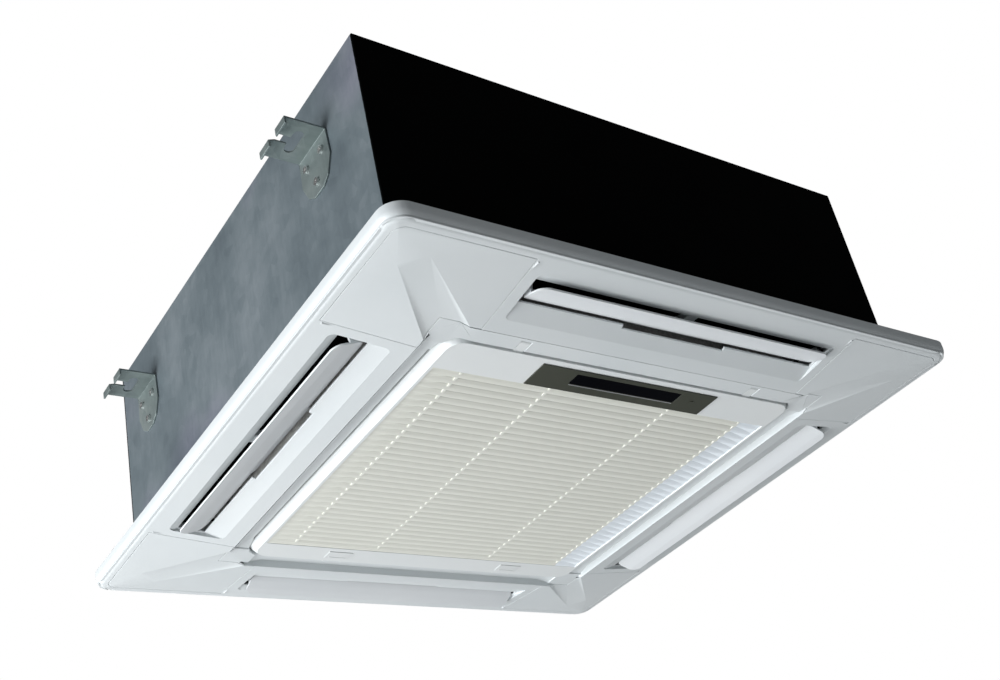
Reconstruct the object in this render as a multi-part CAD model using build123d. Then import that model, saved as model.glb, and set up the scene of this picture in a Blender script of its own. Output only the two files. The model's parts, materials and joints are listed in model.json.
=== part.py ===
from build123d import *
import math
import os

# Ceiling cassette air conditioner: four-way panel below the ceiling, sheet-metal body above it.
# Frame: +Z up, origin at the centre of the ceiling plane, which the top of the panel rim touches.
# -Y is the display side of the return grille, +Y its latch side. Millimetres.

# ---------------------------------------------------------------- driving dimensions
BX = 430.0          # body half width, X
BY = 402.5          # body half width, Y, over the outer insulation sheets
BH = 325.0          # body height above the ceiling plane
SHEET = 1.2         # body sheet steel
SKIN = 3.0          # outer insulation sheet on the Y faces
LINER = 10.0        # inner foam liner
PANEL = 475.0       # panel half width
PR = 28.0           # panel corner radius
RIM = 20.0          # height of the panel rim
BAND = 331.0        # half width where the panel face ends at the groove
ZB = -34.5          # lowest level of the panel face
WALL = 3.0          # panel wall
OPEN = 305.5        # half width of the panel's central opening
OPEN_H = 306.8      # the same on the hinge side
ZF = -24.0          # groove floor, seen from below
UP = 310.0          # upstand round the central opening
CELL = 274.0        # corner cover, near edge
CFAR = 458.0        # corner cover, far edge
SLOT_L = 254.0      # outlet slot half length
REC_L = 257.0       # outlet recess half length
PV, PZ = 405.0, -12.0   # vane pivot: distance from the centre, height
REST = 20.0         # vane opening in the stored pose, degrees
BRK_Y = (-277.0, 302.0)  # hanger brackets along Y
BRK_Z = 249.0       # top of the hanger flange
GR = 302.5          # grille skirt half width
GF = 294.0          # grille face half width
GZ = -35.0          # grille face level
HY, HZ = -318.0, -28.0  # grille hinge axis
FY0, FY1 = -241.0, 252.0  # slat field
NSL = 33            # slats
FAN_R = 237.0       # impeller radius
COIL_I, COIL_O = 287.0, 325.0

os.makedirs("parts", exist_ok=True)


def box(x0, x1, y0, y1, z0, z1):
    return Pos((x0 + x1) / 2, (y0 + y1) / 2, (z0 + z1) / 2) * Box(abs(x1 - x0), abs(y1 - y0), abs(z1 - z0))


def cyl(x, y, z0, z1, r):
    return Pos(x, y, (z0 + z1) / 2) * Cylinder(r, abs(z1 - z0))


def cylx(x0, x1, y, z, r):
    return Pos((x0 + x1) / 2, y, z) * Rot(0, 90, 0) * Cylinder(r, abs(x1 - x0))


def cyly(x, y0, y1, z, r):
    return Pos(x, (y0 + y1) / 2, z) * Rot(90, 0, 0) * Cylinder(r, abs(y1 - y0))


def vz(pts, u0, u1):
    """Prism: polygon in (v, z), v outward along -Y, extruded along X from u0 to u1."""
    f = make_face(Polyline([(0, -p[0], p[1]) for p in pts], close=True).edges())
    return Pos(u0, 0, 0) * extrude(f, amount=u1 - u0, dir=(1, 0, 0))


def plan(pts, z0, z1):
    f = make_face(Polyline([(p[0], p[1], z0) for p in pts], close=True).edges())
    return extrude(f, amount=z1 - z0, dir=(0, 0, 1))


def rsq(half, r, z0, z1, halfy=None):
    return Pos(0, 0, z0) * extrude(RectangleRounded(2 * half, 2 * (halfy or half), r), amount=z1 - z0)


def frustum(h0, z0, h1, z1, r0=None, r1=None):
    a = Rectangle(2 * h0, 2 * h0) if r0 is None else RectangleRounded(2 * h0, 2 * h0, r0)
    b = Rectangle(2 * h1, 2 * h1) if r1 is None else RectangleRounded(2 * h1, 2 * h1, r1)
    return loft([Pos(0, 0, z0) * a, Pos(0, 0, z1) * b], ruled=True)


def revolve_pts(pts):
    f = make_face(Polyline([(p[0], 0, p[1]) for p in pts], close=True).edges())
    return revolve(f, axis=Axis.Z)


def turn(obj, k):
    return Rot(0, 0, 90 * k) * obj


def four(obj):
    return [turn(obj, k) for k in range(4)]


def merge(first, items):
    out = first
    for i in items:
        out = out + i
    return out


def cut(first, items):
    out = first
    for i in items:
        out = out - i
    return out


made = {}


def save(name, shape, group=False):
    if isinstance(shape, (list, tuple)):
        flat = []
        for s in shape:
            flat += list(s.solids())
        shape = Compound(children=[Solid(s.wrapped) for s in flat]) if len(flat) > 1 else flat[0]
    made[name] = shape
    export_step(shape, "parts/%s.step" % name)


# ================================================================ BODY SHELL
TOPZ = BH
LX, LY = BX, BY - SKIN     # steel faces
FL = 11.0                  # inward flange at the foot of each side sheet

pipe_open = box(LX - 5, LX + 5, 217, 270, 84, 170)
spigot_hole = cylx(LX - 5, LX + 5, 335, 120, 17.0)
cable_hole = cylx(LX - 5, LX + 5, -180, 90, 11.3)

left = box(-LX, -LX + SHEET, -LY + SHEET, LY - SHEET, 0, TOPZ - SHEET)
left += box(-LX, -LX + FL, -LY + 14, LY - 14, 0, SHEET)
save("side_plate_left", left)
right = box(LX - SHEET, LX, -LY + SHEET, LY - SHEET, 0, TOPZ - SHEET)
right += box(LX - FL, LX, -LY + 14, LY - 14, 0, SHEET)
right = cut(right, [pipe_open, spigot_hole, cable_hole])
save("side_plate_right", right)
front = box(-LX, LX, -LY, -LY + SHEET, 0, TOPZ - SHEET) + box(-LX + 14, LX - 14, -LY, -LY + FL, 0, SHEET)
save("side_plate_front", front)
rear = box(-LX, LX, LY - SHEET, LY, 0, TOPZ - SHEET) + box(-LX + 14, LX - 14, LY - FL, LY, 0, SHEET)
save("side_plate_rear", rear)
# top plate: pressed ribs stand up as shallow ridges, two crossing swages and a motor ring
top = box(-LX, LX, -LY, LY, TOPZ - SHEET, TOPZ)
for s in (-1, 1):
    top += box(-330, 330, s * 300 - 12, s * 300 + 12, TOPZ - 0.4, TOPZ + 1.8)
    top += box(s * 330 - 12, s * 330 + 12, -270, 270, TOPZ - 0.4, TOPZ + 1.8)
ringm = cyl(0, 0, TOPZ - 0.4, TOPZ + 1.8, 150) - cyl(0, 0, TOPZ - 5, TOPZ + 5, 128)
top += ringm
motor_bolt = [(95 * math.cos(math.radians(45 + 90 * k)), 95 * math.sin(math.radians(45 + 90 * k))) for k in range(4)]
top = cut(top, [cyl(x, y, TOPZ - 5, TOPZ + 5, 3.3) for x, y in motor_bolt])
save("top_plate", top)
save("outer_insulation", [box(-LX, LX, -BY, -LY, 0.5, TOPZ - 0.5), box(-LX, LX, LY, BY, 0.5, TOPZ - 0.5)])

# inner foam liner, sides and roof
IX, IY = LX - SHEET, LY - SHEET
LT = TOPZ - SHEET - 0.1
roof = box(-IX + 0.1, IX - 0.1, -IY + 0.1, IY - 0.1, TOPZ - SHEET - 12, LT) - cyl(0, 0, 280, 330, 122)
LW = TOPZ - SHEET - 12.3
liner = [roof, box(-IX + 0.1, -IX + LINER, -IY + 0.1, IY - 0.1, 61, LW),
         cut(box(IX - LINER, IX - 0.1, -IY + 0.1, IY - 0.1, 61, LW), [box(LX - 20, LX, 212, 278, 80, 174), cylx(LX - 20, LX, 335, 120, 20), cylx(LX - 20, LX, -180, 90, 14)]),
         box(-IX + LINER + 0.3, IX - LINER - 0.3, -IY + 0.1, -IY + LINER, 61, LW), box(-IX + LINER + 0.3, IX - LINER - 0.3, IY - LINER, IY - 0.1, 61, LW)]
save("foam_liner", liner)

# ---------------------------------------------------------------- hanger brackets
T = 2.5


def bracket(side, yc):
    """Down tab flat on the side sheet, flange with an oblong rod slot opened outwards by a neck."""
    tab = make_face(Polyline([(LX, -36, BRK_Z), (LX, 36, BRK_Z), (LX, 38, BRK_Z - 42), (LX, 26, BRK_Z - 66), (LX, 12, BRK_Z - 75),
                              (LX, -12, BRK_Z - 75), (LX, -26, BRK_Z - 66), (LX, -38, BRK_Z - 42)], close=True).edges())
    b = extrude(tab, amount=T, dir=(1, 0, 0))
    b += box(LX, LX + 57, -36, 36, BRK_Z - T, BRK_Z)
    b += box(LX + 57 - T, LX + 57, -36, 36, BRK_Z - 11, BRK_Z)
    slot = Pos(LX + 27, 0, BRK_Z - 20) * extrude(Rot(0, 0, 90) * SlotOverall(40, 14), amount=40)
    neck = box(LX + 27, LX + 70, -6, 6, BRK_Z - 20, BRK_Z + 20)
    flare = plan([(LX + 50, -6), (LX + 62, -12), (LX + 62, 12), (LX + 50, 6)], BRK_Z - 20, BRK_Z + 20)
    b = cut(b, [slot, neck, flare])
    b = cut(b, [cylx(LX - 5, LX + 10, yy, zz, 3.0) for yy, zz in ((-20, BRK_Z - 24), (20, BRK_Z - 24), (0, BRK_Z - 59))])
    b = Pos(0, yc, 0) * b
    return b if side > 0 else mirror(b, about=Plane.YZ)


save("hanger_brackets_left", [bracket(-1, BRK_Y[0]), bracket(-1, BRK_Y[1])])
save("hanger_brackets_right", [bracket(1, BRK_Y[0]), bracket(1, BRK_Y[1])])
scr = []
for sd in (-1, 1):
    for yc in BRK_Y:
        for yy, zz in ((-20, BRK_Z - 24), (20, BRK_Z - 24), (0, BRK_Z - 59)):
            h = cylx(LX + T, LX + T + 3.2, yc + yy, zz, 5.2) + cylx(LX + 0.05, LX + T, yc + yy, zz, 2.9)
            h = h - cylx(LX + T + 1.8, LX + T + 5, yc + yy, zz, 2.2)
            scr.append(h if sd > 0 else mirror(h, about=Plane.YZ))

# ---------------------------------------------------------------- corner gussets and panel screws
gus = []
psc = []
for sx in (-1, 1):
    for sy in (-1, 1):
        g = plan([(sx * 428.5, sy * 398), (sx * 340, sy * 398), (sx * 340, sy * 389), (sx * 372, sy * 340), (sx * 418, sy * 312), (sx * 428.5, sy * 312)], SHEET, SHEET + 2)
        g = g + cyl(sx * 392, sy * 362, SHEET + 2, SHEET + 9, 7.0)
        g = g - cyl(sx * 392, sy * 362, -5, 20, 3.05)
        gus.append(g)
        p = cyl(sx * 392, sy * 362, -10.5, SHEET + 8, 3.0) + cyl(sx * 392, sy * 362, -14.5, -10.5, 6.5)
        p += cyl(sx * 392, sy * 362, -10.5, -8.8, 11.0)
        psc.append(p - cyl(sx * 392, sy * 362, -16, -12, 3.2))
save("corner_gussets", gus)
save("panel_screws", psc)

# ================================================================ AIR SIDE
# drain pan: inner wall, coil trough, duct passages, chamfered corners for the gussets
pan = box(-IX + 0.3, IX - 0.3, -IY + 0.3, IY - 0.3, SHEET + 0.8, 60)
pan = pan - box(-268, 268, -268, 268, -5, 80)
trough = rsq(333, 30, 32, 80) - rsq(280, 20, 20, 90)
pan = pan - trough
pan = cut(pan, four(box(-252, 252, -384, -346, -5, 80)))
for sx in (-1, 1):
    for sy in (-1, 1):
        pan = pan - plan([(sx * 430, sy * 300), (sx * 414, sy * 308), (sx * 368, sy * 336), (sx * 335, sy * 385), (sx * 332, sy * 402), (sx * 430, sy * 402)], -5, 15)
        pan = pan - cyl(sx * 392, sy * 362, 10, 26, 11)
pan = pan - cyl(335, 335, 22, 80, 36) - box(300, 335, 300, 335, 30, 80) - cyl(375, 290, 32, 80, 16) - box(333, 375, 282, 298, 32, 80)
save("drain_pan", pan)

# bell mouth: square plate over the pan with a flared round inlet
bell = rsq(272, 12, 60.2, 62.2) - cyl(0, 0, 50, 70, 222)
bell += revolve_pts([(226, 60.2), (206, 64), (184, 74), (170, 90), (166, 104), (168, 104), (172.2, 91), (186, 76), (207, 66.2), (226, 62.2)])
save("bell_mouth", bell)

# evaporator: C-shaped finned block, its two ends meet at the +X +Y corner
block = rsq(COIL_O, 60, 38, 300) - rsq(COIL_I, 22, 30, 310)
block = block - box(214, 400, 214, 400, 20, 320)
save("evaporator_coil", block)
ends = box(COIL_I - 2, COIL_O + 3, 214.2, 215.4, 38, 303) + box(214.2, 215.4, COIL_I - 2, COIL_O + 3, 38, 303)
ends += plan([(285.0, 214.4), (287.6, 215.4), (287.6, 216.4), (216.4, 287.6), (215.4, 287.6), (214.4, 285.0)], 62.6, 303)
save("coil_end_plates", ends)
hair = []
for i in range(7):
    z = 60 + i * 36
    u = revolve(Pos(296 + 0, 215.6, z) * Rot(90, 0, 0) * Pos(0, 0, 0) * Circle(4.8), axis=Axis((306, 215.6, z), (0, 0, 1)), revolution_arc=-180)
    hair.append(u)
    w = revolve(Pos(215.6, 296, z) * Rot(0, 90, 0) * Circle(4.8), axis=Axis((215.6, 306, z), (0, 0, 1)), revolution_arc=180)
    hair.append(w)
save("coil_return_bends", hair)

# headers and service pipes, leaving through the +X side
gh = cyl(299, 252, 66, 286, 8.0) + cylx(299, 470, 252, 150, 7.94) + cylx(470, 488, 252, 150, 13.0) + cylx(486, 503, 252, 150, 11.1)
gh = merge(gh, [cyly(299, 215.5, 248, z, 3.0) for z in (78, 114, 186, 222, 258)])
gh = gh - cylx(480, 510, 252, 150, 6.6)
save("gas_pipe", gh)
lh = cyl(320, 236, 70, 200, 5.0) + cylx(320, 464, 236, 105, 4.76) + cylx(464, 480, 236, 105, 9.5) + cylx(478, 493, 236, 105, 7.94)
lh = merge(lh, [cyly(318.5, 215.5, 234, z, 2.0) for z in (78, 114, 150, 186)])
lh = lh - cylx(474, 500, 236, 105, 3.7)
save("liquid_pipe", lh)
pp = box(LX, LX + SHEET, 206, 281, 76, 176)
pp += cylx(LX - 1.6, LX + 4.0, 252, 150, 11.5) + cylx(LX - 1.6, LX + 4.0, 236, 105, 8.3)
pp = cut(pp, [cylx(LX - 5, LX + 5, 252, 150, 8.0), cylx(LX - 5, LX + 5, 236, 105, 4.82)])
ps = [cylx(LX + SHEET, LX + SHEET + 2.4, y, z, 4.2) + cylx(LX + 0.1, LX + SHEET, y, z, 0.1 + 1.4) for y, z in ((211, 81), (276, 81), (211, 171), (276, 171))]
pp_holes = [cylx(LX - 5, LX + 5, y, z, 1.6) for y, z in ((211, 81), (276, 81), (211, 171), (276, 171))]
save("pipe_plate", cut(pp, pp_holes))
scr += ps
gl = cylx(LX, LX + 12, -180, 90, 16) + cylx(LX - 9, LX, -180, 90, 11.0) - cylx(LX - 20, LX + 20, -180, 90, 7.5)
save("cable_gland", gl)

# condensate: pump, rotor, float switch, hose and spigot
pump = cyl(335, 335, 62, 150, 27) + cyl(335, 335, 150, 158, 20) + cyl(335, 335, 38, 62, 15)
pump = pump - cyl(335, 335, 30, 58, 13)
pump += cylx(335 + 20, 381, 335, 120, 10) + box(332, 338, 368 - 10, 368, 80, 100) + cyl(335, 335, 57, 63, 15)
pump = pump - cyl(335, 335, 50, 75, 3.05)
save("drain_pump", pump)
rot = cyl(335, 335, 42, 72, 3.0)
rot += merge(cyl(335, 335, 42, 46, 5), [Pos(335, 335, 46) * Rot(0, 0, a) * Pos(0, 0, 4) * Box(22, 1.6, 14) for a in (0, 90)])
save("pump_rotor", rot)
save("drain_hose", cylx(372, 426, 335, 120, 13.5) - cylx(370, 430, 335, 120, 10.0))
sp = cylx(LX, LX + 2.5, 335, 120, 24) + cylx(LX - 4.0, LX + 46, 335, 120, 16)
sp = sp - cylx(LX - 10, LX + 60, 335, 120, 13.6)
save("drain_spigot", sp)
fs = cyl(375, 290, 38, 118, 2.5) + cyl(375, 290, 92, 112, 11) + cyl(375, 290, 36, 39, 6)
fs += box(375, IX - LINER - 0.3, 286, 294, 100, 104)
save("float_switch", fs)
save("float", cyl(375, 290, 48, 66, 12) - cyl(375, 290, 40, 70, 2.6))

# ---------------------------------------------------------------- fan
mp = Pos(0, 0, 0) * (cyl(0, 0, 308, 311, 116) - cyl(0, 0, 300, 320, 40))
mp = cut(mp, [cyl(x, y, 300, 320, 7.2) for x, y in motor_bolt])
save("motor_plate", mp)
mounts_ = []
for x, y in motor_bolt:
    mounts_.append(cyl(x, y, 311, TOPZ - SHEET, 13) + cyl(x, y, 307.9, 311.2, 7.1) + cyl(x, y, 303.5, 308, 12) - cyl(x, y, 290, 330, 3.3))
save("motor_rubber_mounts", mounts_)
bolts = [cyl(x, y, 299.5, TOPZ + 4, 3.0) + cyl(x, y, 298, 303.5, 6.5) + cyl(x, y, TOPZ, TOPZ + 5, 6.0) for x, y in motor_bolt]
save("body_screws", scr + bolts)
mot = cyl(0, 0, 226, 308, 72) + cyl(0, 0, 218, 226, 40)
mot += merge(cyl(0, 0, 262, 272, 78), [cyl(0, 0, 305, 308, 82)])
inner = cyl(0, 0, 232, 300, 50) + cyl(0, 0, 222, 305, 13) + cyl(0, 0, 200, 240, 7.0)
mot = mot - inner
save("fan_motor", mot)
brg = [cyl(0, 0, 223, 231, 12.98) - cyl(0, 0, 210, 240, 6.05), cyl(0, 0, 296.2, 304.2, 12.98) - cyl(0, 0, 290, 310, 6.05)]
save("motor_bearings", brg)
sh = cyl(0, 0, 172, 304.5, 6.0) + cyl(0, 0, 238, 294, 46)
save("motor_rotor_shaft", sh)
# impeller
imp = revolve_pts([(95, 287), (FAN_R, 287), (FAN_R, 290), (92, 290), (88.5, 216), (48, 200), (16, 200), (16, 180), (18, 180), (18, 196), (50, 196), (92, 213)])
imp += cyl(0, 0, 180, 200, 17)
imp += revolve_pts([(172, 94), (174, 94), (176, 111), (192, 129), (FAN_R, 148), (FAN_R, 151), (190, 132), (174, 113)])
wheel = None
for k in range(7):
    arc = ThreePointArc((112, 0), (170, 34), (222, 82))
    bl = extrude(trace(arc, 3.2), amount=188)
    bl = Rot(0, 0, k * 360 / 7) * Pos(0, 0, 100) * bl
    wheel = bl if wheel is None else wheel + bl
wheel = wheel - revolve_pts([(0, 80), (FAN_R + 5, 80), (FAN_R + 5, 151), (190.5, 130.7), (175, 112), (0, 112)])
imp = imp + wheel
imp = imp - cyl(0, 0, 170, 210, 6.0)
save("turbofan_impeller", imp)
hn = Pos(0, 0, 171) * extrude(RegularPolygon(10, 6), amount=9) - cyl(0, 0, 160, 190, 6.0)
save("hub_nut", hn)

# ================================================================ ELECTRICS
EX, EY0, EY1 = 190, -262, -188
eb = box(-EX, EX, EY0, EY1, 12, 60.1) - box(-EX + 1, EX - 1, EY0 + 1, EY1 - 1, 5, 59.1)
eb += box(-EX - 12, EX + 12, EY0, EY1, 59.1, 60.1)
eb = merge(eb, [cyl(x, y, 45.7, 59.5, 2.5) for x in (-142, 34) for y in (-254, -196)] + [cyl(x, -225, 45.7, 59.5, 2.5) for x in (-60, 50)])
eb = eb - cylx(EX - 5, EX + 5, -225, 35, 8)
save("electrical_box", eb)
ec = box(-EX - 1.4, EX + 1.4, EY0 - 1.4, EY1 + 1.4, 9.5, 22) - box(-EX - 0.3, EX + 0.3, EY0 - 0.3, EY1 + 0.3, 10.7, 30)
save("electrical_box_cover", ec)
pcb = box(-150, 40, EY0 + 6, EY1 - 6, 44, 45.6)
for x, y, w, d, h in ((-135, -245, 18, 14, 16), (-112, -245, 18, 14, 16), (-88, -245, 18, 14, 16), (-60, -240, 26, 22, 14), (-30, -248, 10, 22, 12), (-12, -248, 10, 22, 12),
                      (8, -246, 12, 16, 10), (-130, -206, 30, 10, 9), (-92, -206, 24, 8, 9), (-60, -206, 24, 8, 9), (-20, -210, 34, 16, 4), (22, -208, 14, 12, 12)):
    pcb += box(x - w / 2, x + w / 2, y - d / 2, y + d / 2, 44 - h, 44.3)
for x, y in ((-10, -228), (6, -228), (22, -228)):
    pcb += cyl(x, y, 26, 44.3, 6)
pcb += box(-150, 104, EY0 + 6, EY1 - 6, 44, 45.6) + box(56, 100, -246, -208, 26, 44.3) + box(64, 92, -251, -203, 22, 44.3)
save("control_board", pcb)
tb = box(116, 176, -256, -236, 36, 59.0)
for i in range(6):
    tb = tb - cyl(121 + i * 10, -246, 30, 40, 3.2)
save("terminal_block", tb)
save("room_sensor", cylx(-232, -212, -226, 46, 3.0) + box(-236, -230, -232, -220, 44, 60))

# ================================================================ PANEL
PRISM = rsq(PANEL, PR, -60, 0)
outer = box(-PANEL, PANEL, -PANEL, PANEL, -RIM, 0) + frustum(PANEL, -RIM, BAND, ZB)
outer = outer & PRISM
SL = (RIM + ZB) / (PANEL - BAND)          # slope of the panel face (negative)


def face_z(v):
    return -RIM + SL * (PANEL - v)


inner_v = rsq(PANEL - WALL, PR - WALL, -60, 5)
hollow = (box(-480, 480, -480, 480, -RIM, 5) + frustum(480, -RIM + WALL + 0.5 - 0.2, BAND, ZB + WALL)) & inner_v
groove = frustum(BAND, ZB - 8, BAND - 3, ZF)
groove_x = frustum(BAND + WALL, ZB - 8, BAND - 3 + WALL, ZF + WALL)


def wedge_cut(grow):
    """Shallow groove along a corner's diagonal, with sloping sides; its floor rises to the surface at the outer end."""
    secs = []
    for d in (402.0, 652.0):
        edge = 28.99 - (d - 439.8) * 0.0696 + (6.7 if grow else 0)
        ze = -34.45 + (d - 439.8) * 0.0663
        zf = -30.3 + (d - 439.8) * 0.0376 + (WALL if grow else 0)
        t0, t1 = edge - 2 * (zf - ze), edge + 2 * (ze + 60)
        q = 2 ** 0.5
        secs.append(make_face(Polyline([((d + t) / q, (d - t) / q, z) for t, z in ((t0, zf), (-t0, zf), (-t1, -60), (t1, -60))], close=True).edges()))
    return loft(secs, ruled=True)


wedges = four(wedge_cut(0))
wedges_x = four(wedge_cut(1))
recess_pts = [(355.5, face_z(355.5) + 0.02), (383, -24), (424, -20), (437.5, face_z(437.5) + 0.02), (437.5, -50), (355.5, -50)]
recess = vz(recess_pts, -REC_L, REC_L) & (Pos(0, -396.5, -60) * extrude(RectangleRounded(2 * REC_L, 82, 9), amount=60))
recess_x = vz([(352.5, -50), (352.5, face_z(352.5) + WALL), (355.5, face_z(355.5) + WALL), (383, -21), (424, -17), (440.5, face_z(437.5) + WALL + 0.2), (440.5, -50)], -REC_L - 3, REC_L + 3)
opening = Pos(0, (OPEN - OPEN_H) / 2, -60) * extrude(RectangleRounded(2 * OPEN, OPEN + OPEN_H, 29), amount=80)
shell = outer - (cut(hollow, [groove_x] + wedges_x + four(recess_x)))
# upstand round the opening, outlet duct walls
ups = box(-UP - 2.5, UP + 2.5, -UP - 18.5, UP + 2.5, ZF + 1, -0.5) - box(-UP, UP, -UP - 16, UP, -40, 5)
duct = vz([(341.5, -0.5), (359.5, -33), (440, -33), (440, -13), (395, -0.5)], -264.5, 264.5) - vz([(344.3, 0.5), (362.3, -45), (437.3, -45), (437.3, -15.2), (386, 0.5)], -262, 262)
ribs = merge(box(-264, -262, -341, -UP - 18.6, -22, -10), [box(262, 264, -341, -UP - 18.6, -22, -10), box(-2, 2, -341, -328.5, -22, -8)])
tongue = vz([(438, -18.8), (414, -17.5), (400, -17.5), (400, -7.2), (412, -7.2), (438, -14.8)], -9, 9) - vz([(412, -30), (396, -30), (396, 0), (412, 0)], -2.9, 2.9)
tongue += vz([(438, -18.8), (424, -18.2), (424, -15.0), (438, -14.8)], -25, 25)
tongue = tongue - cylx(-15, 15, -PV, PZ, 2.0)
body = shell + (ups & outer)
body = merge(body, four((duct & outer)))
body = cut(body, [groove] + wedges + four(recess))
body = body - opening
# raised floor in the groove's corners, level with the diagonal grooves, with a ramp along each side
ramp = [(262, ZF + 0.1), (262, ZF), (296, -30.3), (330.6, -30.3), (330.6, ZF + 0.1)]
fill = extrude(make_face(Polyline([(a, 285, b) for a, b in ramp], close=True).edges()), amount=45.6, dir=(0, 1, 0))
fill += extrude(make_face(Polyline([(285, a, b) for a, b in ramp], close=True).edges()), amount=45.6, dir=(1, 0, 0))
fill = fill - rsq(303.4, 26.9, -60, 0) - wedge_cut(0)
body = merge(body, four(fill))
slot_cut = box(-SLOT_L, SLOT_L, -424, -383, -60, -16.0) + box(-88, 88, -384, -377.5, -60, -18)
body = cut(body, four(slot_cut))
body = merge(body, four(tongue))
# corner covers are cut out of the same skin
cell = plan([(CELL, CELL), (CFAR, CELL), (CFAR, CFAR), (CELL, CFAR)], -60, -15.6) & (Pos(0, 0, -60) * extrude(RectangleRounded(2 * CFAR, 2 * CFAR, 16), amount=60))
keep_in = box(-BAND - 0.6, BAND + 0.6, -BAND - 0.6, BAND + 0.6, -80, 20)
cell_out = cell - keep_in
cell_big = (plan([(CELL - 0.5, CELL - 0.5), (CFAR + 0.5, CELL - 0.5), (CFAR + 0.5, CFAR + 0.5), (CELL - 0.5, CFAR + 0.5)], -60, -14.6) & (Pos(0, 0, -60) * extrude(RectangleRounded(2 * CFAR + 1, 2 * CFAR + 1, 16.5), amount=60))) - box(-BAND - 0.1, BAND + 0.1, -BAND - 0.1, BAND + 0.1, -80, 20)
skin_only = cut(outer - cut(hollow, [groove_x] + wedges_x), [groove] + wedges)
covers = []
for k in range(4):
    c = skin_only & turn(cell_out, k)
    c = max(c.solids(), key=lambda s: s.volume)
    pegs = turn(cyl(300, 425, face_z(425) + 1.5, -6.5, 3.0) + cyl(425, 300, face_z(425) + 1.5, -6.5, 3.0), k)
    covers.append(c + pegs)
for k in range(4):
    body = body - turn(cell_big, k)
# corner trays behind the covers
tray = box(269, 468, 269, 468, -8, -5.5) & rsq(470, 25, -10, 0)
tray += box(268.9, 271.5, 333, 455, face_z(400) + 4, -5.5) + box(333, 455, 268.9, 271.5, face_z(400) + 4, -5.5)
tray += (box(462, 464.5, 269, 448, -20, -5.5) + box(269, 448, 462, 464.5, -20, -5.5))
tray = tray - box(-UP - 19, UP + 19, -UP - 19, UP + 19, -50, 5)
tray = cut(tray, [cyl(392, 362, -20, 5, 3.6), cyl(362, 392, -20, 5, 3.6), cyl(300, 425, -20, 5, 3.3), cyl(425, 300, -20, 5, 3.3), cyl(415, 415, -20, 5, 20),
                  box(264.6, 285, PV - 13, PV + 13, -30, 5), box(PV - 13, PV + 13, 264.6, 285, -30, 5)])
body = merge(body, [turn(tray, k) for k in range(4)])
# shaft holes: plain bush at one end of each vane, motor boss at the other
body = cut(body, four(cylx(-270, 270, -PV, PZ, 5.02)))
body = merge(body, four(tongue))
body = cut(body, four(cylx(-15, 15, -PV, PZ, 2.0)))
# hinge lugs over the display-side lip, notches that the grille's knuckles fill
step = make_face(Polyline([(-303.4, 0, ZF + 0.1), (-303.4, 0, -30.3), (-300, 0, -30.3), (-268, 0, -33), (268, 0, -33), (300, 0, -30.3), (303.4, 0, -30.3), (303.4, 0, ZF + 0.1)], close=True).edges())
body += Pos(0, -303.3, 0) * extrude(step, amount=26.7, dir=(0, -1, 0))
body = body - box(-264, 264, -325.9, -306.3, -30, -20)
for x in (-200, 200):
    body = body - box(x - 8.0, x + 8.0, -323.2, -300, -40, 0)
    for t in (-1, 1):
        body += box(min(x + t * 8.6, x + t * 12.1), max(x + t * 8.6, x + t * 12.1), -325.9, -311.5, -32.9, -22.0)
    body = body - cylx(x - 12.05, x + 12.05, HY, HZ, 1.5)
pieces = sorted(body.solids(), key=lambda s: -s.volume)
print("panel frame solids", [round(s.volume) for s in pieces][:6])
save("panel_frame", pieces[0])
for nm, c in zip(("corner_cover_front_left", "corner_cover_rear_left", "corner_cover_rear_right", "corner_cover_front_right"), (covers[2], covers[1], covers[0], covers[3])):
    cs = sorted(c.solids(), key=lambda s: -s.volume)
    print(nm, [round(s.volume) for s in cs])
    save(nm, cs[0])
# foam seals between the outlet ducts and the drain pan
seal = box(-266, 266, -392, -340, -0.5 + 0.05, SHEET + 0.75) - box(-258, 258, -384.5, -345.5, -5, 10)
seal = seal - box(-300, 300, -402, -387.5, -5, SHEET)
save("duct_seals", four(seal))
save("hinge_pins", [cylx(x - 12.0, x + 12.0, HY, HZ, 1.5) for x in (-200, 200)])

# ---------------------------------------------------------------- vanes
# section about the pivot, closed position: (outward, up)
low = [(29.0, -13.4), (15.0, -14.9), (0.0, -15.2), (-10.0, -14.4), (-18.0, -12.3)]
low_m = low[:-1] + [(-18.0, -12.3), (-25.4, -10.4)]


def blade(prof, u0, u1):
    t = 2.4
    up_ = [(a + (0.5 if b > -13 and a < 0 else 0), b + t) for a, b in prof]
    pts = [(PV + a, PZ + b) for a, b in prof] + [(PV + a, PZ + b) for a, b in reversed(up_)]
    return vz(pts, u0, u1)


v = blade(low, -250, 250) + blade(low_m, -86, 86)
v = v & (Pos(0, -410.5, -60) * extrude(RectangleRounded(500, 47, 16), amount=60) + box(-90, 90, -400, -370, -60, 0))
for s in (-1, 1):
    v += vz([(PV - 6.5, PZ - 13.6), (PV + 6.5, PZ - 13.6), (PV + 5.2, PZ), (PV + 3.6, PZ + 3.8), (PV, PZ + 5.2), (PV - 3.6, PZ + 3.8), (PV - 5.2, PZ)], min(s * 246.5, s * 250), max(s * 246.5, s * 250))
v += cylx(-265.8, -249, -PV, PZ, 3.0) + cylx(249, 278, -PV, PZ, 3.0)
mid = vz([(PV - 5, PZ - 13.6), (PV + 5, PZ - 13.6), (PV + 4.6, PZ), (PV + 3.2, PZ + 3.2), (PV, PZ + 4.6), (PV - 3.2, PZ + 3.2), (PV - 4.6, PZ)], -2, 2)
v += mid
v = v - cylx(-5, 5, -PV, PZ, 2.05)
open_rot = Pos(0, -PV, PZ) * Rot(REST, 0, 0) * Pos(0, PV, -PZ)
vane = open_rot * v
vn = ("vane_front", "vane_right", "vane_rear", "vane_left")
for k in range(4):
    save(vn[k], turn(vane, k))
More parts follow.
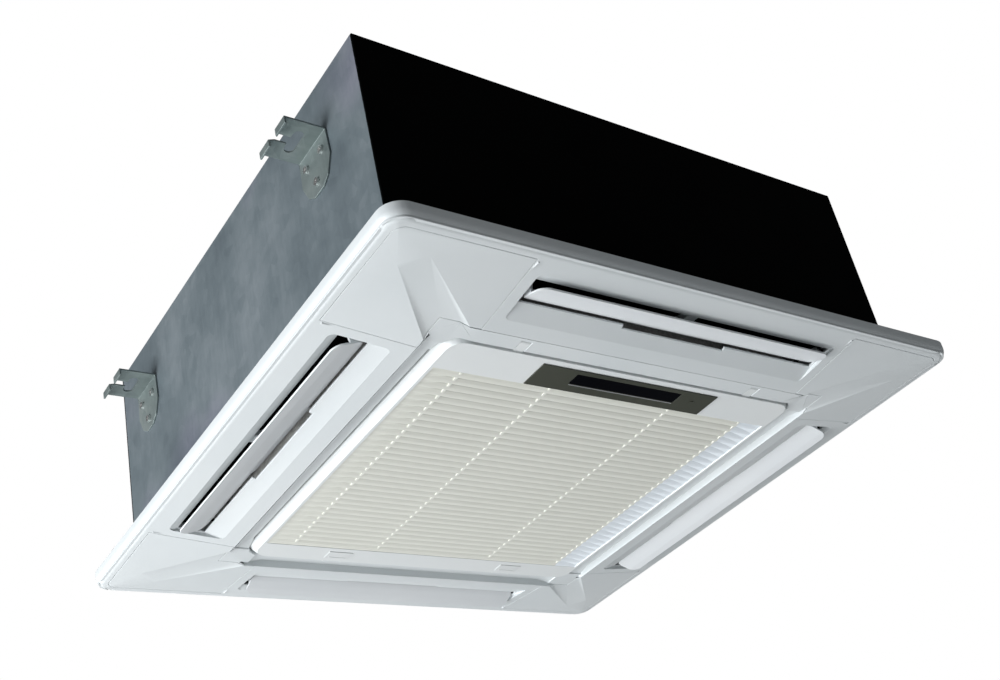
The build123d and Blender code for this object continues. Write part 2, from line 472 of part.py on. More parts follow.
bush = cylx(-266, -259.5, -PV, PZ, 5.0) + cylx(-266, -264.5, -PV, PZ, 7.5) - cylx(-280, -250, -PV, PZ, 3.05)
save("vane_pivots", four(bush) + four(cylx(-8.9, 8.9, -PV, PZ, 2.0)))
# swing motors: small geared steppers, one at the other end of each vane
sm = cylx(264.6, 281, -PV, PZ, 10.0) + cylx(259.5, 265, -PV, PZ, 5.0)
sm = sm - cylx(255, 278.6, -PV, PZ, 3.05)
save("swing_motors", four(sm))

# ---------------------------------------------------------------- return grille
g_out = loft([Pos(0, -3.4, GZ) * RectangleRounded(2 * GF, 2 * GF + 6.8, 22), Pos(0, 0, ZF) * RectangleRounded(2 * GR, 2 * GR, 26)], ruled=True) + rsq(GR, 26, ZF, -9)
g_in = frustum(GF - 3.0, GZ + 2.5, GR - 2.8, ZF, 19, 23.5) + rsq(GR - 2.8, 23.5, ZF, 0)
grille = g_out - g_in
grille = grille - box(-289, 289, FY0, FY1, -60, GZ + 3.5)
# step walls at the two ends of the slat field
grille += box(-289.5, 289.5, FY0 - 2.2, FY0, GZ + 0.5, -17.6) + box(-289.5, 289.5, FY1, FY1 + 2.2, GZ + 0.5, -17.6)
pitch = (FY1 - FY0) / NSL
XF = 245.0


def slat(k):
    """One blade: its lower edge back and nearly flush with the frame, its upper edge forward, so it hides the filter from the front."""
    y = FY0 + (k + 1) * pitch - 1.5
    f = [(y, -34.0), (y - 1.4, -34.0), (y - 5.5, -33.1), (y - 9.5, -31.4), (y - 12.6, -29.0), (y - 13.9, -26.4), (y - 12.2, -26.0), (y - 10.6, -28.2), (y - 8.2, -29.9), (y - 4.8, -31.3), (y, -32.4)]
    return extrude(make_face(Polyline([(-289.4, a, b) for a, b in f], close=True).edges()), amount=578.8, dir=(1, 0, 0))


slats = [slat(k) for k in range(NSL)] + [box(-289.4, 289.4, 248.0, FY1 + 0.5, -34.0, -32.6)]
for x in (-XF, -105, 105, XF):
    grille += box(x - 1.7, x + 1.7, FY0 - 1, FY1 + 1, -33.0, -22.5)
# sloping floor behind the blades' ends, from the frame's face up to the outer ribs
for t in (-1, 1):
    r = make_face(Polyline([(t * 289.4, FY0 - 1, -33.4), (t * (XF - 1), FY0 - 1, -29.6), (t * (XF - 1), FY0 - 1, -28.2), (t * 289.4, FY0 - 1, -32.0)], close=True).edges())
    grille += extrude(r, amount=FY1 - FY0 + 2, dir=(0, 1, 0))
field = box(-295, 295, FY0 - 1.0, FY1 + 1.0, -60, 0)
grille = grille.fuse(*[sl & field for sl in slats])
# filter rails
for s in (-1, 1):
    grille += box(min(s * 287.6, s * 290.2), max(s * 287.6, s * 290.2), FY0, FY1, -32.6, -7.5) + box(min(s * 281, s * 290.2), max(s * 281, s * 290.2), FY0, FY1, -8.9, -7.5)
# display pocket, latch windows, hinge arms
grille = grille - box(-151.5, 151.5, -289.5, -244.5, -60, -30)
for x in (-160, 160):
    grille = grille - box(x - 18.6, x + 18.6, 264, 281.5, -60, -31)
    grille = grille - box(x - 13, x + 13, 295, 310, -21.4, -16.0)
arm = box(-7.5, 7.5, HY, -300.2, -32.5, -27.5) + cylx(-7.5, 7.5, HY, HZ, 4.5) - cylx(-10, 10, HY, HZ, 1.55)
for x in (-200, 200):
    grille += Pos(x, 0, 0) * arm
# guides on both sides of each latch stem
for x in (-160, 160):
    for s in (-1, 1):
        grille += box(min(x + s * 14.6, x + s * 16.6), max(x + s * 14.6, x + s * 16.6), 284, 298, GZ + 1, -22.5) + box(min(x + s * 14.6, x + s * 16.6), max(x + s * 14.6, x + s * 16.6), 283, 300, -22.6, -15.5)
gs = sorted(grille.solids(), key=lambda s: -s.volume)
print("grille solids", [round(s.volume) for s in gs][:6])
save("return_grille", gs[0])

# air filter: frame, bars and mesh, between the rails
af = box(-286.8, 286.8, -239, 234, -16.4, -9.4) - box(-278, 278, -230, 225, -30, 0)
for x in (-139, 0, 139):
    af += box(x - 2, x + 2, -231, 226, -15.4, -10.6)
for y in (-110, 2, 114):
    af += box(-279, 279, y - 2, y + 2, -15.4, -10.6)
af += box(-279, 279, -231, 226, -13.2, -12.5)
af += box(-24, 24, 226, 233, -9.5, -6.5)
save("air_filter", af)
# latches: thumb pad in the face, stem and tongue behind it
for nm, x in (("latch_left", -160), ("latch_right", 160)):
    l = box(x - 18, x + 18, 272.6, 281, -35.9, -32.2) + box(x - 14, x + 14, 273, 281, -32.3, -17.8)
    l += box(x - 12, x + 12, 273, 305.0, -20.4, -17.8) + box(x - 14, x + 14, 278.4, 280.2, -36.6, -35.5)
    l += box(x - 20.5, x + 20.5, 262.4, 283.2, -36.0, -35.15)
    save(nm, l)
# display: bezel, dark window, board, push button
bz = box(-153, 153, -291, -243, -36.4, -35.05) + box(-151, 151, -289, -245, -35.1, -31)
bz = bz - box(-92, 92, -283, -260.5, -40, -33) - box(-140, 140, -286, -248, -33.6, -30)
bz = bz - cyl(120, -268, -40, -30, 4.6)
save("display_bezel", bz)
save("display_window", box(-91.8, 91.8, -282.8, -260.7, -36.0, -34.0))
db = box(-136, 136, -284, -250, -31.9, -30.4) + box(-80, 80, -280, -264, -33.4, -31.8) + box(112, 128, -275, -261, -33.0, -31.8)
save("display_board", db)
save("display_button", cyl(120, -268, -37.2, -34.6, 4.2))

for n, s in made.items():
    bb = s.bounding_box()
    print(n, len(s.solids()), round(s.volume / 1000, 1), [round(q, 1) for q in (bb.min.X, bb.min.Y, bb.min.Z, bb.max.X, bb.max.Y, bb.max.Z)])
print(len(made), "nodes")
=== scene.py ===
import bpy, bmesh, json, math
from mathutils import Vector, Matrix


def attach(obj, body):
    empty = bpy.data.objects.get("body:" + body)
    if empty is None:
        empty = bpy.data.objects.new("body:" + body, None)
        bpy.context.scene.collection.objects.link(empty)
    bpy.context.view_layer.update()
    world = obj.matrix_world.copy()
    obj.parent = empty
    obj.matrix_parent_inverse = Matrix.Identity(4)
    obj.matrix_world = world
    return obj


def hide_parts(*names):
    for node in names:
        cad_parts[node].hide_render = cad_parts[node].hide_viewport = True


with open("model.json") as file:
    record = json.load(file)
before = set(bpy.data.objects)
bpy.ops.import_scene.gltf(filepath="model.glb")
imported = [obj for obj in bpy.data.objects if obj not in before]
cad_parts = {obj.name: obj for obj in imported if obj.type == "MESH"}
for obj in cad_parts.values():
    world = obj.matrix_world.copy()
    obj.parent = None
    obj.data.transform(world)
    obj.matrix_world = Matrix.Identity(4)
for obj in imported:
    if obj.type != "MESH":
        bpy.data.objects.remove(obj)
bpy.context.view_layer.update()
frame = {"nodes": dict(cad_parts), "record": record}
NODES = frame["nodes"]
BODY = {n: b for b, ns in frame["record"]["behaviour"]["bodies"].items() for n in ns}
SLOT = {s["node"]: s["material_slot"] for s in frame["record"]["subparts"]}
MM = 0.001


# ================================================================ materials
def tree(name):
    m = bpy.data.materials.new(name)
    m.use_nodes = True
    t = m.node_tree
    bsdf = t.nodes["Principled BSDF"]
    return m, t, bsdf


def add(t, kind, **sets):
    n = t.nodes.new(kind)
    for k, v in sets.items():
        if k in n.inputs.keys():
            n.inputs[k].default_value = v
        else:
            setattr(n, k, v)
    return n


def coords(t, scale=(1, 1, 1)):
    c = t.nodes.new("ShaderNodeTexCoord")
    mp = t.nodes.new("ShaderNodeMapping")
    mp.inputs["Scale"].default_value = scale
    t.links.new(c.outputs["Object"], mp.inputs["Vector"])
    return mp.outputs["Vector"]


def noise(t, vec, scale, detail=3.0, rough=0.5):
    n = add(t, "ShaderNodeTexNoise")
    n.inputs["Scale"].default_value = scale
    n.inputs["Detail"].default_value = detail
    n.inputs["Roughness"].default_value = rough
    t.links.new(vec, n.inputs["Vector"])
    return n.outputs["Fac"]


def ramp(t, fac, stops):
    r = t.nodes.new("ShaderNodeValToRGB")
    e = r.color_ramp.elements
    e[0].position, e[0].color = stops[0][0], (*stops[0][1], 1)
    e[1].position, e[1].color = stops[-1][0], (*stops[-1][1], 1)
    for p, c in stops[1:-1]:
        x = e.new(p)
        x.color = (*c, 1)
    t.links.new(fac, r.inputs["Fac"])
    return r.outputs["Color"]


def span(t, fac, lo, hi):
    m = t.nodes.new("ShaderNodeMapRange")
    m.inputs["To Min"].default_value = lo
    m.inputs["To Max"].default_value = hi
    t.links.new(fac, m.inputs["Value"])
    return m.outputs["Result"]


def bump(t, bsdf, fac, dist, strength=0.3, prev=None):
    b = t.nodes.new("ShaderNodeBump")
    b.inputs["Distance"].default_value = dist
    b.inputs["Strength"].default_value = strength
    t.links.new(fac, b.inputs["Height"])
    if prev is not None:
        t.links.new(prev, b.inputs["Normal"])
    t.links.new(b.outputs["Normal"], bsdf.inputs["Normal"])
    return b.outputs["Normal"]


def moulded(name, c0, c1, rough=(0.38, 0.5), grain=1800.0, strength=0.06, coat=0.0, spec=0.45):
    """Injection-moulded plastic: slow tone drift, a fine eroded grain, slightly uneven gloss."""
    m, t, b = tree(name)
    v = coords(t)
    slow = noise(t, v, 4.0, 4)
    t.links.new(ramp(t, slow, [(0.3, c0), (0.7, c1)]), b.inputs["Base Color"])
    t.links.new(span(t, noise(t, v, 35.0, 3), rough[0], rough[1]), b.inputs["Roughness"])
    p = bump(t, b, noise(t, v, grain, 2), 0.0002, strength)
    bump(t, b, noise(t, v, 9.0, 2), 0.0012, 0.05, p)
    b.inputs["Specular IOR Level"].default_value = spec
    if coat:
        b.inputs["Coat Weight"].default_value = coat
        b.inputs["Coat Roughness"].default_value = 0.12
    return m


def grille_skin(name, frame_c, bounce_tint_c, gap_shade_c, end_light_c):
    """One moulding: plain frame; blades in a warm painted bounce-light tint, with painted shade darkening them upward
    into the gaps; blade ends on +X painted brighter and bluish, as light bounced off the lit end wall.
    """
    m = moulded(name, *frame_c, (0.34, 0.46))
    t = m.node_tree
    b = t.nodes["Principled BSDF"]
    plain = b.inputs["Base Color"].links[0].from_socket
    sep = t.nodes.new("ShaderNodeSeparateXYZ")
    t.links.new(coords(t), sep.inputs[0])

    def maths(op, a, c):
        n = add(t, "ShaderNodeMath", operation=op)
        for i, v in enumerate((a, c)):
            if isinstance(v, (int, float)):
                n.inputs[i].default_value = v
            elif v is not None:
                t.links.new(v, n.inputs[i])
        return n.outputs[0]

    def blend(fac, c0, c1):
        n = add(t, "ShaderNodeMix", data_type="RGBA")
        t.links.new(fac, n.inputs[0])
        for i, v in ((6, c0), (7, c1)):
            if isinstance(v, tuple):
                n.inputs[i].default_value = (*v, 1)
            else:
                t.links.new(v, n.inputs[i])
        return n.outputs[2]

    x, y, z = sep.outputs[0], sep.outputs[1], sep.outputs[2]
    inside = maths("MULTIPLY", maths("LESS_THAN", maths("ABSOLUTE", x, None), 0.2897), maths("LESS_THAN", maths("ABSOLUTE", maths("SUBTRACT", y, 0.0055), None), 0.2472))
    inside = maths("MULTIPLY", inside, maths("GREATER_THAN", z, -0.03435))
    # painted shade: the blades darken toward the gap shade colour as they rise into the gaps between them
    up = t.nodes.new("ShaderNodeMapRange")
    up.inputs["From Min"].default_value, up.inputs["From Max"].default_value = -0.0315, -0.0282
    t.links.new(z, up.inputs["Value"])
    # painted light: a warm cream tint on the blades for light bounced between the slats, varied at random
    bounce_mix = t.nodes.new("ShaderNodeMapRange")
    t.links.new(noise(t, coords(t), 6.0, 3), bounce_mix.inputs["Value"])
    blade = blend(bounce_mix.outputs["Result"], *bounce_tint_c)
    # painted light: blade ends past x 0.2462 turn bright bluish white for light bounced off the lit end wall, and keep
    # only a quarter of the gap shade
    ends = maths("GREATER_THAN", x, 0.2462)
    tone = blend(maths("MULTIPLY", up.outputs["Result"], maths("SUBTRACT", 1.0, maths("MULTIPLY", ends, 0.75))), blend(ends, blade, end_light_c), gap_shade_c)
    t.links.new(blend(inside, plain, tone), b.inputs["Base Color"])
    return m


def zinc(name, dark, mid, light, tint=None, metal=0.55):
    """Galvanised sheet: faint spangle, cloudy tone, light vertical wipe marks."""
    m, t, b = tree(name)
    v = coords(t)
    cells = add(t, "ShaderNodeTexVoronoi")
    cells.inputs["Scale"].default_value = 55.0
    t.links.new(v, cells.inputs["Vector"])
    cloud = noise(t, v, 5.5, 6, 0.6)
    streak = noise(t, coords(t, (1, 26, 3)), 5.0, 4, 0.6)
    mixa = add(t, "ShaderNodeMath", operation="MULTIPLY_ADD")
    t.links.new(cells.outputs["Color"], mixa.inputs[0])
    mixa.inputs[1].default_value = 0.10
    t.links.new(cloud, mixa.inputs[2])
    mixb = add(t, "ShaderNodeMath", operation="MULTIPLY_ADD")
    t.links.new(streak, mixb.inputs[0])
    mixb.inputs[1].default_value = 0.16
    t.links.new(mixa.outputs[0], mixb.inputs[2])
    col = ramp(t, mixb.outputs[0], [(0.42, dark), (0.60, mid), (0.78, light)])
    if tint:
        mask = ramp(t, noise(t, coords(t, (1, 1, 1)), 2.6, 3, 0.5), [(0.50, (0, 0, 0)), (0.68, (1, 1, 1))])
        mx = add(t, "ShaderNodeMix", data_type="RGBA")
        t.links.new(mask, mx.inputs[0])
        t.links.new(col, mx.inputs[6])
        mul = add(t, "ShaderNodeMix", data_type="RGBA", blend_type="MULTIPLY")
        mul.inputs[0].default_value = 1.0
        t.links.new(col, mul.inputs[6])
        mul.inputs[7].default_value = (*tint, 1)
        t.links.new(mul.outputs[2], mx.inputs[7])
        col = mx.outputs[2]
    t.links.new(col, b.inputs["Base Color"])
    b.inputs["Metallic"].default_value = metal
    t.links.new(span(t, mixa.outputs[0], 0.40, 0.62), b.inputs["Roughness"])
    p = bump(t, b, cloud, 0.002, 0.08)
    bump(t, b, cells.outputs["Distance"], 0.0004, 0.05, p)
    return m


def metal(name, c0, c1, rough=(0.28, 0.42), metallic=1.0, scale=60.0):
    m, t, b = tree(name)
    v = coords(t)
    n = noise(t, v, scale, 5, 0.6)
    t.links.new(ramp(t, n, [(0.3, c0), (0.7, c1)]), b.inputs["Base Color"])
    b.inputs["Metallic"].default_value = metallic
    t.links.new(span(t, noise(t, v, scale * 2.3, 3), rough[0], rough[1]), b.inputs["Roughness"])
    bump(t, b, noise(t, v, scale * 12, 2), 0.0002, 0.08)
    return m


def foam(name, c0, c1, scale=700.0, depth=0.0008, rough=0.92, strength=0.5, spec=0.15):
    m, t, b = tree(name)
    v = coords(t)
    n = noise(t, v, scale, 3, 0.6)
    big = noise(t, v, 9.0, 4)
    t.links.new(ramp(t, big, [(0.3, c0), (0.7, c1)]), b.inputs["Base Color"])
    t.links.new(span(t, n, rough - 0.1, rough), b.inputs["Roughness"])
    b.inputs["Specular IOR Level"].default_value = spec
    p = bump(t, b, n, depth, strength)
    bump(t, b, big, 0.003, 0.12, p)
    return m


def beads(name):
    """Expanded polystyrene."""
    m, t, b = tree(name)
    v = coords(t)
    c = add(t, "ShaderNodeTexVoronoi")
    c.inputs["Scale"].default_value = 260.0
    t.links.new(v, c.inputs["Vector"])
    t.links.new(ramp(t, c.outputs["Distance"], [(0.0, (0.86, 0.86, 0.84)), (0.9, (0.66, 0.66, 0.64))]), b.inputs["Base Color"])
    t.links.new(span(t, noise(t, v, 30.0), 0.7, 0.9), b.inputs["Roughness"])
    bump(t, b, c.outputs["Distance"], 0.0012, 0.45)
    return m


def fins(name):
    """Thin aluminium fins on edge, running up and down; the dark stripes are painted shade in the gaps between the
    fins.
    """
    m, t, b = tree(name)
    v = coords(t)
    sep = t.nodes.new("ShaderNodeSeparateXYZ")
    t.links.new(v, sep.inputs[0])
    s = add(t, "ShaderNodeMath", operation="ADD")
    t.links.new(sep.outputs[0], s.inputs[0])
    t.links.new(sep.outputs[1], s.inputs[1])
    k = add(t, "ShaderNodeMath", operation="MULTIPLY")
    t.links.new(s.outputs[0], k.inputs[0])
    k.inputs[1].default_value = 2.0 * math.pi / 0.0032
    w = add(t, "ShaderNodeMath", operation="SINE")
    t.links.new(k.outputs[0], w.inputs[0])
    f = span(t, w.outputs[0], 0, 1)
    f.node.inputs["From Min"].default_value = -1.0
    # light stripes are the fin edges, dark stripes painted shade between them
    t.links.new(ramp(t, f, [(0.15, (0.12, 0.13, 0.14)), (0.6, (0.72, 0.74, 0.76))]), b.inputs["Base Color"])
    b.inputs["Metallic"].default_value = 0.85
    t.links.new(span(t, noise(t, v, 40.0), 0.30, 0.45), b.inputs["Roughness"])
    bump(t, b, f, 0.0012, 0.8)
    return m


def mesh_cloth(name):
    """Filter net: fine woven holes, read as a dark grid."""
    m, t, b = tree(name)
    v = coords(t)
    sep = t.nodes.new("ShaderNodeSeparateXYZ")
    t.links.new(v, sep.inputs[0])
    hs = []
    for i in (0, 1):
        k = add(t, "ShaderNodeMath", operation="MULTIPLY")
        t.links.new(sep.outputs[i], k.inputs[0])
        k.inputs[1].default_value = 2.0 * math.pi / 0.0022
        w = add(t, "ShaderNodeMath", operation="SINE")
        t.links.new(k.outputs[0], w.inputs[0])
        hs.append(w.outputs[0])
    mxx = add(t, "ShaderNodeMath", operation="MAXIMUM")
    t.links.new(hs[0], mxx.inputs[0])
    t.links.new(hs[1], mxx.inputs[1])
    t.links.new(ramp(t, mxx.outputs[0], [(0.2, (0.015, 0.015, 0.017)), (0.9, (0.13, 0.135, 0.14))]), b.inputs["Base Color"])
    t.links.new(span(t, noise(t, v, 30.0), 0.55, 0.7), b.inputs["Roughness"])
    bump(t, b, mxx.outputs[0], 0.0004, 0.5)
    return m


def board(name):
    """Circuit board: solder mask with copper runs showing through."""
    m, t, b = tree(name)
    v = coords(t)
    br = add(t, "ShaderNodeTexBrick")
    br.inputs["Scale"].default_value = 140.0
    br.inputs["Mortar Size"].default_value = 0.06
    br.inputs["Color1"].default_value = (0.02, 0.11, 0.05, 1)
    br.inputs["Color2"].default_value = (0.025, 0.14, 0.06, 1)
    br.inputs["Mortar"].default_value = (0.05, 0.26, 0.10, 1)
    t.links.new(v, br.inputs["Vector"])
    t.links.new(br.outputs["Color"], b.inputs["Base Color"])
    t.links.new(span(t, noise(t, v, 90.0), 0.3, 0.5), b.inputs["Roughness"])
    bump(t, b, br.outputs["Fac"], 0.0002, 0.3)
    return m


M = {
    "panel_plastic": moulded("panel_plastic", (0.650, 0.692, 0.706), (0.692, 0.725, 0.735)),
    "grille_plastic": moulded("grille_plastic", (0.700, 0.730, 0.735), (0.740, 0.765, 0.765)),
    "vane_plastic": moulded("vane_plastic", (0.68, 0.71, 0.73), (0.72, 0.745, 0.76), (0.32, 0.42)),
    # cream blade tone: a painted warm tint for light bounced between the slats
    "blade_plastic": moulded("blade_plastic", (0.77, 0.79, 0.72), (0.81, 0.82, 0.76), (0.34, 0.46)),
    # return grille: frame tone; blades with a painted warm bounce tint, painted gap shade and painted bright end light
    # on +X
    "return_grille": grille_skin("return_grille", ((0.740, 0.775, 0.780), (0.780, 0.805, 0.805)), ((0.80, 0.81, 0.74), (0.84, 0.845, 0.78)), (0.20, 0.20, 0.17), (0.86, 0.92, 0.97)),
    "galvanised_steel": zinc("galvanised_steel", (0.140, 0.175, 0.198), (0.190, 0.232, 0.255), (0.26, 0.30, 0.325), (1.06, 0.90, 1.07)),
    "bracket_steel": zinc("bracket_steel", (0.16, 0.195, 0.195), (0.235, 0.28, 0.275), (0.33, 0.37, 0.36), None, 0.6),
    "bright_steel": metal("bright_steel", (0.70, 0.70, 0.69), (0.86, 0.86, 0.85), (0.2, 0.34)),
    "steel": metal("steel", (0.40, 0.41, 0.42), (0.56, 0.57, 0.58)),
    "black_foam": foam("black_foam", (0.0006, 0.0008, 0.0008), (0.0014, 0.0017, 0.0016), spec=0.03),
    "pan_foam": beads("pan_foam"),
    "black_plastic": moulded("black_plastic", (0.060, 0.062, 0.066), (0.085, 0.088, 0.092)),
    "dark_plastic": moulded("dark_plastic", (0.03, 0.03, 0.032), (0.05, 0.05, 0.053)),
    "grey_plastic": moulded("grey_plastic", (0.34, 0.35, 0.36), (0.42, 0.43, 0.44)),
    "aluminium_fins": fins("aluminium_fins"),
    "copper": metal("copper", (0.62, 0.27, 0.14), (0.80, 0.42, 0.25), (0.22, 0.42)),
    "brass": metal("brass", (0.62, 0.44, 0.16), (0.78, 0.58, 0.26), (0.2, 0.32)),
    "rubber": foam("rubber", (0.010, 0.010, 0.010), (0.018, 0.018, 0.018), 1500.0, 0.0002, 0.8, 0.3),
    "motor_housing": metal("motor_housing", (0.10, 0.105, 0.11), (0.16, 0.165, 0.17), (0.4, 0.55), 0.6),
    "fan_plastic": moulded("fan_plastic", (0.045, 0.048, 0.052), (0.07, 0.073, 0.078), (0.42, 0.58)),
    "board": board("board"),
    "filter_mesh": mesh_cloth("filter_mesh"),
    "bezel_plastic": moulded("bezel_plastic", (0.042, 0.046, 0.034), (0.060, 0.064, 0.050), (0.34, 0.44), 1800.0, 0.04, 0.0, 0.25),
    "window_plastic": moulded("window_plastic", (0.0010, 0.0012, 0.0022), (0.0020, 0.0022, 0.0036), (0.16, 0.24), 1200.0, 0.02, 0.0, 0.02),
}
for n, o in NODES.items():
    o.data.materials.clear()
    o.data.materials.append(M[SLOT[n]])


# ================================================================ mesh helpers
def finish_mesh(bm, name, angle=32):
    bmesh.ops.recalc_face_normals(bm, faces=bm.faces)
    me = bpy.data.meshes.new(name)
    bm.to_mesh(me)
    bm.free()
    for p in me.polygons:
        p.use_smooth = True
    me.set_sharp_from_angle(angle=math.radians(angle))
    return me


def place(me, name, body, mat, reps=()):
    o = bpy.data.objects.new(name, me)
    bpy.context.scene.collection.objects.link(o)
    # vertex normals weighted by face area, so that wide flat faces stay flat beside rounded edges
    wn = o.modifiers.new("weighted", "WEIGHTED_NORMAL")
    wn.mode, wn.weight, wn.keep_sharp = "FACE_AREA", 100, True
    dg = bpy.context.evaluated_depsgraph_get()
    o.data = bpy.data.meshes.new_from_object(o.evaluated_get(dg), preserve_all_data_layers=True, depsgraph=dg)
    o.data.name = name
    o.modifiers.clear()
    me = o.data
    if not me.materials:
        me.materials.append(mat)
    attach(o, body)
    if reps:
        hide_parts(*reps)
    return o


def refine(node, width, segments=2, sharp=28, keep=None, mat=None, angle=30, name=None, soft=None):
    """The CAD node's own surface with its flat faces merged and its hard edges rounded."""
    src = NODES[node]
    bm = bmesh.new()
    bm.from_mesh(src.data)
    bmesh.ops.remove_doubles(bm, verts=bm.verts, dist=3e-6)
    bmesh.ops.dissolve_limit(bm, angle_limit=math.radians(0.8), use_dissolve_boundaries=False, verts=bm.verts, edges=bm.edges)
    bmesh.ops.recalc_face_normals(bm, faces=bm.faces)
    if soft:
        first = [e for e in bm.edges if len(e.link_faces) == 2 and soft[0](e)]
        bmesh.ops.bevel(bm, geom=first, offset=soft[1] * MM, offset_type="OFFSET", segments=6, profile=0.5, affect="EDGES", clamp_overlap=False)
    lim = math.radians(sharp)
    w = width * MM
    picked = []
    for e in bm.edges:
        if len(e.link_faces) != 2 or e.calc_length() < 2.4 * w:
            continue
        if e.calc_face_angle(0) < lim:
            continue
        if keep and not keep(e):
            continue
        picked.append(e)
    if picked and w > 0:
        bmesh.ops.bevel(bm, geom=picked, offset=w, offset_type="OFFSET", segments=segments, profile=0.5, affect="EDGES", clamp_overlap=False)
    me = finish_mesh(bm, name or node + "_detail", angle)
    o = place(me, name or node + "_detail", BODY[node], mat or M[SLOT[node]], (node,))
    return o


def grille_edge(e):
    a, b = (v.co / MM for v in e.verts)
    if all(abs(p.x) < 292 and -242.5 < p.y < 253.5 for p in (a, b)):
        return a.z < -33.9 and b.z < -33.9 and (a - b).length > 400
    return max(a.z, b.z) < -18


def rim_edge(e):
    def on(p):
        x, y = abs(p.x) / MM, abs(p.y) / MM
        return -21.2 < p.z / MM < -19.7 and (max(x, y) > 474.8 if min(x, y) < 447.2 else math.hypot(x - 447.0, y - 447.0) > 27.7)
    return all(on(v.co) for v in e.verts)


def vane_lip(e):
    return all(v.co.z / MM < -33.6 for v in e.verts) and e.calc_length() > 0.3


for n, w in (("panel_frame", 0.7), ("corner_cover_front_left", 0.5), ("corner_cover_front_right", 0.5), ("corner_cover_rear_left", 0.5), ("corner_cover_rear_right", 0.5),
             ("return_grille", 0.5), ("hanger_brackets_left", 0.5), ("hanger_brackets_right", 0.5), ("display_bezel", 0.4), ("vane_front", 0.4), ("vane_right", 0.4),
             ("vane_rear", 0.4), ("vane_left", 0.4), ("latch_left", 0.3), ("latch_right", 0.3)):
    soft = (rim_edge, 11.0) if n == "panel_frame" else (vane_lip, 1.9) if n.startswith("vane_") else None
    refine(n, w, keep=grille_edge if n == "return_grille" else None, mat=M["return_grille"] if n == "return_grille" else None, soft=soft)

# ================================================================ painted shade: near-black sheets inside the outlet ducts
def prism(bm, pts, u0, u1, k):
    """Closed bar along side k: section in (outward, up), from u0 to u1 along the side."""
    rot = Matrix.Rotation(math.pi / 2 * k, 4, "Z")
    rows = []
    for u in (u0, u1):
        rows.append([bm.verts.new(rot @ Vector((u * MM, -p[0] * MM, p[1] * MM))) for p in pts])
    n = len(pts)
    for i in range(n):
        j = (i + 1) % n
        bm.faces.new((rows[0][i], rows[0][j], rows[1][j], rows[1][i]))
    bm.faces.new(rows[0][::-1])
    bm.faces.new(rows[1])


bm = bmesh.new()
for k in range(4):
    # inner slope of the panel's duct, and the roof over the vane's outer half
    prism(bm, [(345.0, -0.2), (356.8, -29.5), (357.3, -29.3), (357.8, -28.8), (346.6, -0.2), (345.8, 0.0)], -257.8, 257.8, k)
    prism(bm, [(387.3, -0.3), (436.6, -15.6), (436.6, -16.4), (436.0, -16.9), (385.6, -1.2), (385.9, -0.4)], -257.8, -10.5, k)
    prism(bm, [(387.3, -0.3), (436.6, -15.6), (436.6, -16.4), (436.0, -16.9), (385.6, -1.2), (385.9, -0.4)], 10.5, 257.8, k)
# near-black foam sheets stand in for the shade inside the ducts
place(finish_mesh(bm, "duct_shade_sheets"), "duct_shade_sheets", "housing", M["black_foam"])

# ================================================================ small parts of the display
bm = bmesh.new()
# fine lip under the window
prism(bm, [(259.6, -36.35), (258.5, -36.35), (258.3, -36.75), (258.7, -37.0), (259.3, -37.0), (259.7, -36.75)], -90.5, 90.5, 0)
# the lip is real geometry; its light grey is a painted highlight for the light line on the step below the window
place(finish_mesh(bm, "window_lip_highlight"), "window_lip_highlight", "grille", M["grey_plastic"])

# ================================================================ stage, light, camera
me = bpy.data.meshes.new("floor")
S, ZFL = 14.0, -3.2
me.from_pydata([(-S, -S, ZFL), (S, -S, ZFL), (S, S, ZFL), (-S, S, ZFL)], [], [(0, 1, 2, 3)])
fl = bpy.data.objects.new("floor", me)
bpy.context.scene.collection.objects.link(fl)
m, t, b = tree("floor_paint")
v = coords(t)
t.links.new(ramp(t, noise(t, v, 1.2, 3), [(0.3, (0.80, 0.80, 0.80)), (0.7, (0.84, 0.84, 0.84))]), b.inputs["Base Color"])
b.inputs["Roughness"].default_value = 0.7
me.materials.append(m)

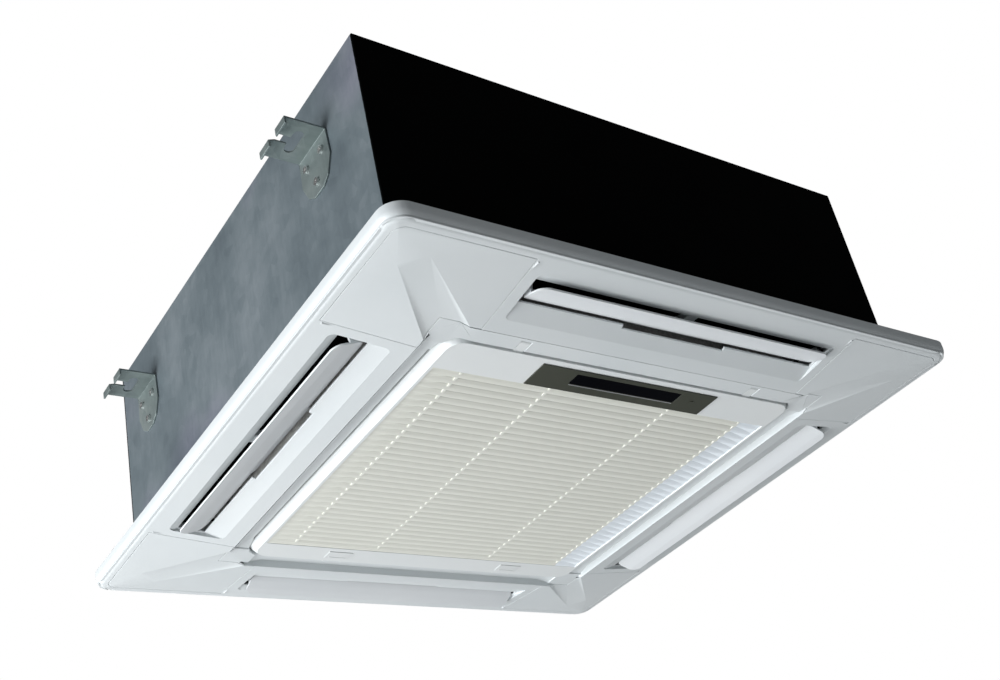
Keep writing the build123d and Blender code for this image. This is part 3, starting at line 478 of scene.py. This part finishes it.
bm = bmesh.new()
bmesh.ops.create_uvsphere(bm, u_segments=48, v_segments=24, radius=13.0)
me = bpy.data.meshes.new("backdrop")
bm.to_mesh(me)
bm.free()
bd = bpy.data.objects.new("backdrop", me)
bpy.context.scene.collection.objects.link(bd)
m = bpy.data.materials.new("backdrop_paint")
m.use_nodes = True
t = m.node_tree
t.nodes.clear()
em = t.nodes.new("ShaderNodeEmission")
em.inputs["Color"].default_value = (1, 1, 1, 1)
em.inputs["Strength"].default_value = 1.0
out = t.nodes.new("ShaderNodeOutputMaterial")
t.links.new(em.outputs[0], out.inputs["Surface"])
me.materials.append(m)
bd.visible_diffuse = False
bd.visible_glossy = False
bd.visible_shadow = False
bd.visible_transmission = False

w = bpy.data.worlds.new("studio")
bpy.context.scene.world = w
w.use_nodes = True
w.node_tree.nodes["Background"].inputs["Color"].default_value = (0.93, 0.97, 1.0, 1)
w.node_tree.nodes["Background"].inputs["Strength"].default_value = 0.165
bpy.context.scene.view_settings.view_transform = "Standard"


def area(name, loc, target, size, power, color=(1, 1, 1)):
    l = bpy.data.lights.new(name, "AREA")
    l.shape = "RECTANGLE"
    l.size, l.size_y = size
    l.energy = power
    l.color = color
    o = bpy.data.objects.new(name, l)
    bpy.context.scene.collection.objects.link(o)
    o.location = loc
    d = (Vector(target) - Vector(loc)).normalized()
    o.rotation_mode = "QUATERNION"
    o.rotation_quaternion = d.to_track_quat("-Z", "Y")
    return o


area("key", (-4.15, 0.85, -1.28), (0, 0, 0), (2.4, 2.2), 220, (0.97, 0.985, 1.0))
area("over", (1.8, 2.2, 2.6), (0, 0, 0.2), (2.2, 2.2), 70, (1, 1, 1))
area("under", (-1.0, 1.9, -2.2), (0, 0, 0), (2.4, 2.4), 32, (1, 1, 1))

cam = bpy.data.cameras.new("camera")
cam.sensor_fit = "HORIZONTAL"
cam.sensor_width = 36.0
cam.lens = 1322.78 / 1000.0 * 36.0
cam.shift_x = -0.07297
cam.shift_y = 0.115145
cam.clip_end = 100
co = bpy.data.objects.new("camera", cam)
bpy.context.scene.collection.objects.link(co)
R = ((0.7917681, -0.57114677, -0.21655172), (0.11357939, 0.48600498, -0.86654422), (0.60016915, 0.66150625, 0.44967374))
mw = Matrix(((R[0][0], -R[1][0], -R[2][0], -1.12495), (R[0][1], -R[1][1], -R[2][1], -1.37375), (R[0][2], -R[1][2], -R[2][2], -0.90522), (0, 0, 0, 1)))
co.matrix_world = mw
bpy.context.scene.camera = co
